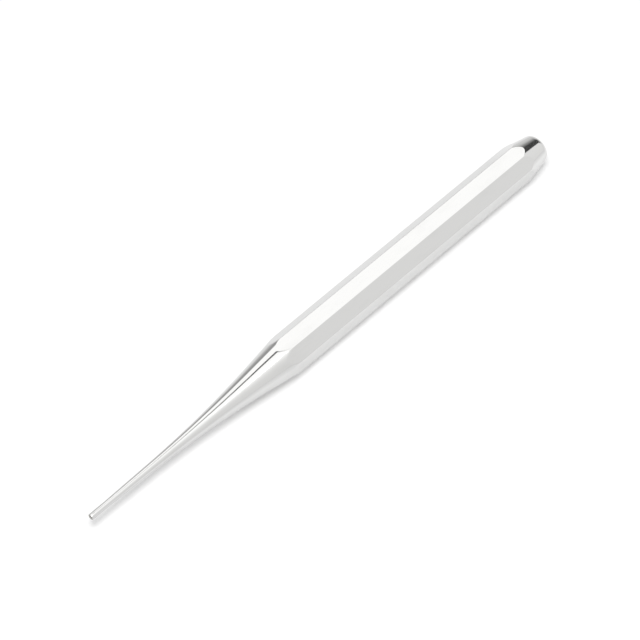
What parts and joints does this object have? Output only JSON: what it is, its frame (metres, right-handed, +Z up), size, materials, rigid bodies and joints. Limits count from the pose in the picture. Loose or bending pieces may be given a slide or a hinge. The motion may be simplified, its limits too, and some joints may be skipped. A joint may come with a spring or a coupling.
{
  "type": "nail setter",
  "caption": "Octagonal chrome plated steel nail setter: a plain bar with a coned striking head at one end and a concave taper down to a slender parallel tip at the other.",
  "frame": {"origin": "on the surface that the tool lies on, under the middle of its length and width", "axes": "+X along the tool towards the striking head, -X towards the tip, +Z up out of the flat that faces up"},
  "size_m": [0.1856, 0.012, 0.012],
  "materials": {
    "chrome_plate": "bright polished plating over fine grinding marks, worn off the tip's end"
  },
  "bodies": {
    "root": {"nail_setter": "chrome_plate"}
  },
  "joints": []
}
